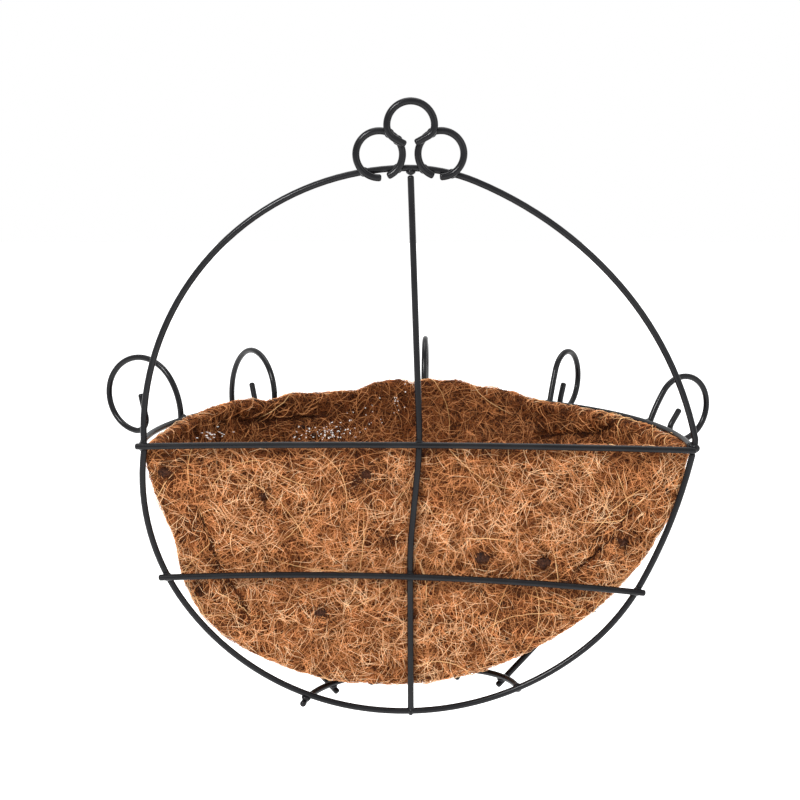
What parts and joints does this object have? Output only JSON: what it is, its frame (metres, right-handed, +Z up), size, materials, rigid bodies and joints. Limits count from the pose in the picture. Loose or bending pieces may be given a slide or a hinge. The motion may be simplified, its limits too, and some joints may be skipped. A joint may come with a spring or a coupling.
{
  "type": "wall hanging basket",
  "caption": "Half-round wall basket of black bent wire with scrolled ribs, a ring trefoil for hanging and a lift-out coir liner.",
  "frame": {"origin": "centre of the hanging ring at the top of the basket", "axes": "+Z up, +X to the right as seen from the wall side, +Y away from the wall into the room"},
  "size_m": [0.3571, 0.2113, 0.3389],
  "materials": {
    "coated_wire": "satin",
    "coir": "matte"
  },
  "bodies": {
    "frame": {"arch_wire": "coated_wire", "back_hoop": "coated_wire", "centre_post": "coated_wire", "rim_bar": "coated_wire", "lower_bar": "coated_wire", "rim_arc": "coated_wire", "bottom_arc": "coated_wire", "rib_1": "coated_wire", "rib_2": "coated_wire", "rib_3": "coated_wire", "rib_4": "coated_wire", "rib_5": "coated_wire", "hanging_ring": "coated_wire", "left_ring": "coated_wire", "right_ring": "coated_wire", "ring_welds": "coated_wire", "back_welds": "coated_wire", "corner_welds": "coated_wire", "rim_welds": "coated_wire", "base_welds": "coated_wire"},
    "liner": {"coir_liner": "coir"}
  },
  "joints": [
    {"name": "liner_lift", "type": "slide", "parent": "frame", "child": "liner", "axis": [0, 0, 1], "range_m": [0, 0.16]}
  ]
}
